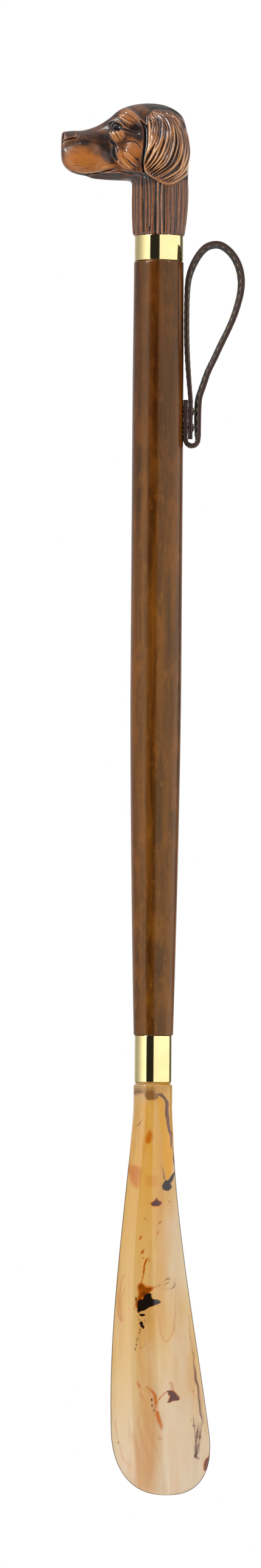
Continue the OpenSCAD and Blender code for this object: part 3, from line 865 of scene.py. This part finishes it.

# Stains inside the horn, and the painted shade of the stud's bore seen through it, by the field
# that they are drawn in. A blot is its strength, its soft edge and a smooth outline, and a streak
# its strength, its half width and a path. Outlines and paths are x, z, x, z, and so on.
BLOTS = {
    "amber": [
        (1, 0.8, 1.8, 195.9, 2.6, 190, 4.1, 179, 5.3, 167.5, 6.6, 155.4, 8.5, 156.1, 9.9, 164.2,
         9.5, 169.6, 7.5, 178.4, 6.3, 186.5, 4.4, 194.8),
    ],
    "rust": [
        (0.62, 2.2, -1.2, 180.2, -3.2, 177.2, -3.4, 173.4, -1, 173, 0.2, 176.4),
        (0.22, 4, -2.4, 174, -5.2, 173, -5.6, 165, -4, 165),
        (0.5, 3.4, -12.4, 161, -9.2, 162.2, -5.6, 161, -5.6, 156, -7.6, 150.6, -11, 154.6),
        (0.25, 3.6, -3.4, 157.2, 1.8, 157.4, 2.4, 152.4, -2.8, 151.6),
        (1.15, 1, -0.7, 143.4, 1.4, 145, 2.2, 146.4, 3.2, 145.2, 5.1, 143.8, 3.6, 142.3, 0.8,
         142.3),
        (0.85, 1.6, -6.8, 103, -4.4, 104.6, -2.2, 102.4, 0.8, 102.2, -0.2, 100.4, -1.8, 98.6, -4.6,
         96.4, -6.4, 91.8, -8, 93.6, -6.6, 98.6),
        (1.05, 0.5, 8, 51, 11.6, 51.4, 13.9, 47.4, 10.8, 46.4, 8, 45.5, 9.2, 48.3),
        (0.4, 1.6, 8.9, 55.6, 10.2, 52, 11.9, 51, 11, 55.6),
        (0.58, 1.2, 2, 42.4, 4.2, 40.8, 6.2, 33.6, 5.4, 32.2, 3.4, 36.6),
        (0.95, 0.7, 29.6, 21.6, 28.6, 19, 26.8, 17, 26, 12.6, 27.4, 12, 29, 16),
    ],
    "dark": [
        (0.3, 2.2, -11, 204, 11, 204, 11, 199.4, 5, 197.6, 0, 197.2, -5, 196.4, -11, 197.2),
        (0.55, 1.3, -9.8, 200.8, -7.2, 199.6, -3.6, 198.8, 1, 198.6, 1, 198, -4, 197.6, -7.4,
         197.2, -9.8, 196.8),
        # This oval is painted shade: the stud's bore seen darkly through the horn.
        (0.52, 0.8, -4.6, 196.2, -3.4, 198.2, -0.6, 198.8, 2, 197.8, 2.9, 195.9, 1.4, 194.4, -1,
         193.9, -3.4, 194.6),
        (0.68, 0.6, 1.1, 198.1, 3.8, 197.6, 5.8, 195.9, 7.5, 193.2, 8.2, 189.2, 8.9, 182.4, 9.5,
         175.7, 10.3, 165.5, 9.7, 169.6, 8.5, 174.3, 7.2, 181, 6.2, 189.2, 5.6, 193.2, 4.3, 195.4,
         2.4, 196.9),
        (1.2, 0.5, 4.8, 152.1, 6.2, 154.7, 8.2, 155.3, 10.4, 158.6, 10.9, 158.4, 10.2, 154.8, 9.2,
         153.4, 9.6, 151.3, 7.8, 149.9, 5.6, 150.3),
        (1.3, 0.7, -7, 92.6, -6.4, 95.8, -4.2, 96.6, -3, 98.8, -0.3, 99, 0.6, 96.6, 4.6, 95, 1, 93,
         -2.3, 91.8, -5, 91, -6.8, 89.6),
        (1.2, 0.5, -5.9, 89.4, -3.8, 89.8, -3.4, 88.8, -5.6, 88.2),
        (1.2, 0.4, -5.8, 84.6, -4.6, 85.9, -3.6, 82.6, -4.6, 82.8),
        (0.3, 2.6, 22.8, 36.6, 25.6, 35, 25.2, 27.2, 24.2, 18.6, 21.8, 18.6, 21.6, 27),
    ],
}
STREAKS = {
    "rust": [
        (0.9, 0.45, 3.4, 133.6, 4.6, 134.6), (0.9, 0.4, 2.6, 128.2, 2.9, 130.2),
        (0.8, 0.35, -4, 135.8, -3.4, 136.2), (0.8, 0.6, -6, 125.4, -5, 127.2),
        (0.85, 0.7, -5, 119, -3.8, 120.4), (0.75, 0.5, -4.9, 116.4, -4.3, 116.9),
        (0.85, 0.5, -1.1, 115.4, -2.8, 116, -4, 110, -4.8, 103.6),
        (0.5, 0.5, 3.2, 102.8, 0.6, 102.4, -2.4, 102.8),
        (0.4, 0.7, -13.8, 108.4, -15.2, 103, -16, 93, -15.6, 87, -14.6, 86.2, -14.8, 94,
         -13.6, 102),
        (0.34, 0.6, 11.5, 107, 12, 96.5, 11.3, 85.9, 10.2, 78.8, 7.7, 76, 4.9, 78.8, 3.9, 85.9,
         2.9, 96.5),
        (0.7, 0.4, -5.2, 72, -4.6, 72.8), (0.6, 0.4, -3.6, 74, -3.2, 74.4),
        (0.5, 0.8, -6.6, 55.6, -5.2, 52), (0.3, 0.7, -5.6, 52.6, -4.2, 48, -2.6, 45),
        (0.62, 1, -1.6, 53, 0.6, 51.4, 1.8, 49.4, 2.6, 45.4, 2.2, 43.2),
        (0.25, 0.6, -4.6, 53, -1.2, 50, 1.4, 45.8),
        (0.75, 0.4, 8.6, 50.6, 6.4, 49.8, 4.4, 47.8, 3.4, 46.2),
        (0.5, 0.6, 3.8, 29.2, 4.6, 28, 5.6, 28.4),
        (0.35, 0.6, 18.6, 82, 22.2, 60, 25.6, 42, 27.2, 30), (0.45, 0.6, 20.6, 51.8, 20.8, 50.6),
        (0.3, 0.5, -16.8, 38, -17, 32, -14.6, 20), (0.2, 0.8, -8, 46, -6, 34, -2, 22, 1, 14),
        (0.22, 0.6, -8.4, 30, -5, 20, -1.6, 9), (0.18, 0.7, -2.6, 36, 1.6, 25, 6, 14),
        (0.24, 0.9, -15.6, 24, -12, 16, -9, 14),
    ],
    "dark": [
        (0.7, 0.4, 9.8, 170, 10.5, 165, 10.9, 160), (0.85, 0.5, 10.8, 166, 11.2, 160, 10.8, 157.6),
        (0.8, 0.35, 5.2, 161, 5.4, 156.6, 6.2, 154.6),
        (0.62, 0.3, -8.2, 181.4, -6.4, 182, -4.8, 185.2), (0.6, 0.32, 9, 143.8, 8, 145.2),
        (0.7, 0.34, 3.2, 102.6, 4, 104), (0.75, 0.36, 6, 105.4, 7.8, 106.4, 9.4, 105.8),
        (0.6, 0.3, 5, 103.4, 7.4, 104.2, 9.4, 104.8),
        (0.7, 0.34, 10.6, 105.2, 11.5, 103.6, 10.8, 102.2, 9.4, 101.5),
        (0.45, 0.3, 4.6, 102.4, 6.8, 101.4, 9.2, 101.6), (0.75, 0.5, -7.9, 97.4, -7.7, 95.2),
        (0.6, 0.35, -8.4, 92.4, -8.2, 91), (0.5, 0.35, -7.4, 88.4, -6, 86.2, -5.2, 86.6),
        (0.6, 0.3, -3.4, 87.4, -2.8, 84.6), (0.8, 0.42, -5.8, 80.8, -5.2, 82),
        (0.85, 0.45, -6, 79.2, -5.6, 80), (0.8, 0.38, -7, 75.6, -6.4, 77.4),
        (0.75, 0.36, -7.4, 73.2, -7.2, 74.6), (0.8, 0.42, -8.2, 71.4, -7.7, 72.4),
        (0.4, 0.3, -0.8, 87.8, -0.2, 85.6, 0.4, 83.6), (0.9, 0.42, 0.5, 47.6, 0.7, 46.4),
        (0.9, 0.45, 1, 44.8, 1.2, 43.6), (0.8, 0.34, 1.5, 42.4, 1.7, 41.2),
        (0.3, 0.5, 17.6, 93, 19, 82, 20.9, 68),
        (0.62, 0.7, 20.4, 70, 21.6, 63, 22.6, 56.5, 24, 44.8, 25.2, 36.6, 24.2, 29.2),
        (0.9, 0.7, 23, 24.6, 22.8, 21.2, 22.2, 18.8, 23.6, 18),
        (0.6, 0.4, 21.4, 40, 21.6, 34, 22.4, 30), (0.75, 0.45, 23.4, 34, 22.8, 27),
        (0.8, 0.4, 24.6, 32, 24.2, 26.4), (0.7, 0.4, 22, 31, 22.4, 25.6, 21.9, 22.4),
        (0.75, 0.4, 23.9, 26.6, 24.1, 21.4), (0.7, 0.35, 23, 31.6, 23.6, 28.4),
        (0.7, 0.3, 20, 37.6, 20.3, 36.6), (0.7, 0.3, 20.5, 34.6, 20.9, 33.6),
        (0.22, 0.5, 16.4, 99, 18.9, 80, 21.2, 62, 22.9, 46), (0.85, 0.35, -16.2, 26.4, -16, 25),
        (0.16, 0.4, -5, 40, -2, 28, 2, 18, 3, 12),
        (0.3, 0.45, -19, 72, -19.8, 56, -19.8, 40, -19, 28),
    ],
}


def blade_full_w(z):
    """Half the blade's width at one height, before its tip rounds off."""
    u = np.clip((190 - z) / 162, 0, 1)
    return NECK_R - 0.02 + (BLADE_HALF_W - NECK_R) * (u + smooth(u)) / 2


def blade_ring(z, sides):
    """Outline of the blade at one height, front face first and then the hollow side."""
    n = sides // 2
    full = float(blade_full_w(z))
    taper = np.clip((TIP_ROUND - z) / TIP_ROUND, 0, 1)
    w = full * float((1 - taper**TIP_POWER) ** (1 / TIP_POWER))
    half_angle = math.radians(40 + 50 / (1 + (max(0, 190 - z) / 15) ** 2))
    r = full / math.sin(half_angle)
    down = np.clip((150 - z) / 150, 0, 1) ** 2
    mid_x = -0.5 * float(smooth((195 - z) / 45)) + (TIP_DRIFT + 0.5) * down
    front_y = 2 * float(smooth((190 - z) / 120)) + TIP_BEND * down - NECK_R + 0.02
    hollow = float(smooth((192 - z) / 50))
    s = -np.cos(np.pi * np.arange(n + 1) / n)
    x = s * w
    edge = np.sqrt(np.clip(1 - s * s, 0, 1))
    thin = BLADE_T * edge**0.35 * min(1, w / 6)
    wall = 2 * (NECK_R - 0.02) * edge * (1 - hollow) + thin * hollow
    inset = hollow * BLADE_T * (1 - edge**0.35) / 2
    y = front_y + r - np.sqrt(r * r - x * x) + inset
    front = np.stack([mid_x + x, y, np.full(n + 1, z)], 1)
    back = np.stack([mid_x + x, y + wall, np.full(n + 1, z)], 1)[-2:0:-1]
    return np.vstack([front, back])


def ragged(x, z, rng):
    """Small shifts that make the edges of the stains wander."""
    shift = np.zeros(x.shape)
    for wavelength, amount in ((11, 0.4), (5, 0.22), (2.2, 0.13), (1.1, 0.07)):
        for _ in range(3):
            turn, phase = rng.uniform(0, 2 * math.pi, 2)
            wave = 2 * math.pi / wavelength * (x * math.cos(turn) + z * 0.6 * math.sin(turn))
            shift += amount / 3 * np.sin(wave + phase)
    return shift


def stain_fields(x, z):
    """How strongly each kind of stain, and the painted shade of the stud's bore, shows at points of
    the blade.
    """
    rng = np.random.default_rng(SEED)
    x, z = x + ragged(x, z, rng), z + ragged(x, z, rng)
    fields = {name: np.zeros(len(x)) for name in ("amber", "rust", "dark")}

    def near(points, reach):
        low, high = points.min(0) - reach, points.max(0) + reach
        return np.where((x > low[0]) & (x < high[0]) & (z > low[1]) & (z < high[1]))[0]

    for name, field in fields.items():
        for strength, soft, *outline in BLOTS.get(name, []):
            here = near(np.reshape(outline, (-1, 2)), soft)
            value = strength * inside(x[here], z[here], outline, soft)
            field[here] = np.maximum(field[here], value)
        for strength, width, *path in STREAKS.get(name, []):
            points = np.reshape(path, (-1, 2))
            here = near(points, 2 * width)
            d, t = along(x[here], z[here], curve(points, 5))
            fade = np.sin(math.pi * np.clip(t, 0.12, 0.88)) ** 0.5
            field[here] = np.maximum(field[here], strength * smooth(1.3 - d / width) * fade)
    return fields


def blade_piece():
    """The blade, its neck and its spigot, from the tip up to the bore of its stud."""
    steps = np.arange(1, 61) / 60
    tip = TIP_ROUND * (1 - np.cos(steps * math.pi / 2))
    body = np.linspace(TIP_ROUND, NECK_BASE, BLADE_RINGS)
    levels = np.concatenate([[0.02, 0.06], tip[1:], body[1:]])
    rings = [blade_ring(float(z), BLADE_SIDES) for z in levels]
    n = BLADE_SIDES // 2
    s = -np.cos(np.pi * np.arange(n + 1) / n)
    c = np.sqrt(np.clip(1 - s * s, 0, 1))
    unit = np.vstack([np.stack([s, -c], 1), np.stack([s, c], 1)[-2:0:-1]])
    turned = [(NECK_R, 198), (NECK_R, SHOULDER_Z - 0.5), (NECK_R - 0.15, SHOULDER_Z - 0.15),
              (NECK_R - 0.5, SHOULDER_Z), (SPIGOT_R, SHOULDER_Z), (SPIGOT_R, SHOULDER_Z + 11.5),
              (SPIGOT_R - 0.3, SHOULDER_Z + 11.8), (3.0, SHOULDER_Z + 11.8), (3.0, BORE_Z),
              (0.05, BORE_Z - 0.6)]
    rings += [np.hstack([unit * r, np.full((BLADE_SIDES, 1), z)]) for r, z in turned]
    points = np.vstack(rings)
    piece = make_mesh("horn_blade", points, ring_faces(len(rings), BLADE_SIDES), [HORN])
    for field, values in stain_fields(points[:, 0], points[:, 2]).items():
        store(piece, field, values)
    store(piece, "height", points[:, 2] / SHOULDER_Z)
    outline = points[:, 0].reshape(len(rings), -1)
    reach = (outline.max(1) - outline.min(1)) / 2
    middle = (outline.max(1) + outline.min(1)) / 2
    heights = np.array([ring[0, 2] for ring in rings]) + 1e-6 * np.arange(len(rings))
    lean = np.gradient(reach, heights)[:, None]
    off_edge = (reach[:, None] - np.abs(outline - middle[:, None])) / np.sqrt(1 + lean**2)
    store(piece, "rim", smooth((0.55 - off_edge.ravel()) / 0.3) * smooth((175 - points[:, 2]) / 20))
    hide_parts("blade")
    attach(piece, "shaft")


BORE_Z = (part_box("blade_stud")[0].z - TIP_Z) / MM
blade_piece()

# ---------------------------------------------------------------- hanging strap

STRAP_W = 7.5
STRAP_T = 2.1
CUT_Z = 539.5
STRAP_STEP = 0.6
NAIL_DROPS = (5.5, 13.5)
STITCH_INSET = 1.0
# Middle line of the strap: distance out from the shaft's side, height above its upper cut
# end, and the tilt in degrees that opens the loop towards the front.
STRAP_ROUTE = [
    (1.15, 0, 0), (1.15, -9, 0), (1.15, -16, 0), (1.15, -19.4, 0), (2.1, -21.6, 0),
    (4.3, -22.5, 0), (6.5, -21.6, 0), (7.25, -19.4, 5), (7.1, -14, 11), (7.1, -6, 13),
    (7.4, 0, 13), (8.2, 3.3, 12), (9.5, 7, 12), (11.9, 14, 11), (15.2, 21, 11), (18.4, 28, 11),
    (21.8, 35, 10), (24.9, 42.5, 11), (27.1, 50, 12), (28, 55, 13), (28.1, 60, 14),
    (27.1, 65.5, 14), (25, 70.2, 13), (22, 74, 12), (18.2, 76.6, 12), (14.5, 77, 12),
    (10.8, 75.7, 12), (8, 73, 12), (5.7, 69.5, 12), (3.8, 65.5, 11), (2.4, 61, 9), (1.7, 56, 7),
    (1.4, 49, 5), (1.35, 41, 5), (1.4, 33, 5), (1.6, 26, 5), (2, 19, 4), (2.5, 12, 3), (3.1, 5, 1),
    (3.5, 0, 0), (3.5, -6, 0), (3.5, -12, 0), (3.5, -19, 0),
]


def strap_frames():
    """Places along the strap's middle line, closely spaced, with the ways out and across."""
    line = curve(STRAP_ROUTE, 12)
    line[:, 0] += SHAFT_R
    line[:, 1] += CUT_Z
    gone = np.concatenate([[0], np.cumsum(np.hypot(np.diff(line[:, 0]), np.diff(line[:, 1])))])
    places = np.linspace(0, gone[-1], int(gone[-1] / STRAP_STEP))
    x, z, tilt = (np.interp(places, gone, line[:, i]) for i in range(3))
    tx, tz = np.gradient(x), np.gradient(z)
    length = np.hypot(tx, tz)
    tx, tz, tilt = tx / length, tz / length, np.radians(tilt)
    out = np.stack([tz * np.cos(tilt), np.sin(tilt), -tx * np.cos(tilt)], 1)
    side = np.stack([-tz * np.sin(tilt), np.cos(tilt), tx * np.sin(tilt)], 1)
    return places, np.stack([x, np.zeros(len(x)), z], 1), side, out


def strap_section():
    """Section of the two plies, with eased edges and a seam between them: across, out, wear."""
    half_w, half_t, ease = STRAP_W / 2, STRAP_T / 2, 0.62
    arc = [(half_w - ease + ease * math.cos(a), half_t - ease + ease * math.sin(a), 0.75)
           for a in np.radians(range(10, 91, 16))]
    seam = [(half_w, -0.16, 0.5), (half_w - 0.22, 0.0, -0.4), (half_w, 0.16, 0.5)]
    face = [(half_w * 0.74, half_t - 0.1, -0.3)]
    face += [(half_w * part, half_t + 0.06, 0.1) for part in (0.5, 0.25, 0)]
    shoulder = [(half_w * 0.86, half_t, 0.1)]
    upper = [(a, -o, w) for a, o, w in arc[::-1]] + seam + arc + shoulder + face
    under = arc[-1:] + face
    return (upper + [(-a, o, w) for a, o, w in upper[-2::-1]]
            + [(-a, -o, w) for a, o, w in under] + [(a, -o, w) for a, o, w in under[-2::-1]])


def strap_piece():
    """The leather band of two plies, whose faces and cut edges have their own leathers."""
    places, middle, side, out = strap_frames()
    section = strap_section()
    n = len(section)
    across, through, wear = np.array(section).T
    points = (middle[:, None, :] + side[:, None, :] * across[None, :, None]
              + out[:, None, :] * through[None, :, None]).reshape(-1, 3)
    faces = ring_faces(len(places), n)
    piece = make_mesh("strap_band", points, faces, [OUTER_LEATHER, LINING_LEATHER, EDGE_LEATHER])
    slots = []
    for face in faces:
        if len(face) > 4:
            slots.append(2)
            continue
        mean = np.mean([through[v % n] for v in face])
        reach = np.mean([abs(across[v % n]) for v in face])
        slots.append(2 if reach > STRAP_W / 2 - 0.45 else (0 if mean > 0 else 1))
    piece.data.polygons.foreach_set("material_index", slots)
    store(piece, "wear", np.tile(wear, len(places)))
    around = np.concatenate([[0], np.cumsum(np.hypot(np.diff(across), np.diff(through)))]) * MM
    layer = piece.data.uv_layers.new(name="UVMap")
    for loop in piece.data.loops:
        i, j = divmod(loop.vertex_index, n)
        layer.data[loop.index].uv = (places[i] * MM, around[j])
    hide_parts("strap_outer_fixed", "strap_lining_fixed", "strap_outer_tail",
                "strap_lining_tail", "strap_outer_loop", "strap_lining_loop")
    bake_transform(piece)


def stitch_pieces():
    """Two rows of saddle stitches on both faces of the strap, each stitch a small sunk bead."""
    places, middle, side, out = strap_frames()
    row = STRAP_W / 2 - STITCH_INSET
    pitch, length, radius, lead = 4.0, 2.9, 0.27, 2
    sides, rings = 8, 7
    around = np.arange(sides)[:, None] * 2 * math.pi / sides
    points, faces = [], []
    for k in range(int((places[-1] - 2 * lead) / pitch)):
        for y in (-row, row):
            for face in (1, -1):
                base = len(points) * sides
                for t in np.arange(rings) / (rings - 1):
                    place = lead + k * pitch + length * t
                    j = min(max(np.searchsorted(places, place), 1), len(places) - 1)
                    f = (place - places[j - 1]) / (places[j] - places[j - 1])
                    arch = math.sin(math.pi * t)
                    centre = (middle[j - 1] * (1 - f) + middle[j] * f
                              + side[j] * (y + 0.12 * (2 * t - 1))
                              + out[j] * face * (STRAP_T / 2 - 0.3 + 0.24 * arch**0.6))
                    r = radius * (0.35 + 0.65 * arch**0.5)
                    points.append(centre + side[j] * r * np.cos(around)
                                  + out[j] * 0.8 * r * np.sin(around))
                faces += [tuple(base + v for v in f) for f in ring_faces(rings, sides)]
    piece = make_mesh("strap_stitching", np.vstack(points), faces, [THREAD])
    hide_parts("strap_thread_fixed", "strap_thread_loop")
    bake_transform(piece)


def nails():
    """Two domed brass nails through the folded foot of the strap into the shaft."""
    head_x = (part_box("strap_nails")[1].x - AXIS_X) / MM
    sides = 32
    profile = [(0.02, 0), (0.8, -0.03), (1.5, -0.16), (1.95, -0.4), (2.1, -0.62), (2, -0.7),
               (0.8, -0.72), (0.8, -12.9), (0.02, -14.4)]
    points, faces = [], []
    for drop in NAIL_DROPS:
        base = len(points) * sides
        for r, d in profile:
            turn = circle(r, 0, sides)
            points.append(np.stack([turn[:, 2] + head_x + d, turn[:, 0],
                                    turn[:, 1] + CUT_Z - drop], 1))
        faces += [tuple(base + v for v in reversed(f)) for f in ring_faces(len(profile), sides)]
    piece = make_mesh("strap_nail_pair", np.vstack(points), faces, [NAIL_BRASS])
    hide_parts("strap_nails")
    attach(piece, "shaft")


strap_piece()
stitch_pieces()
nails()
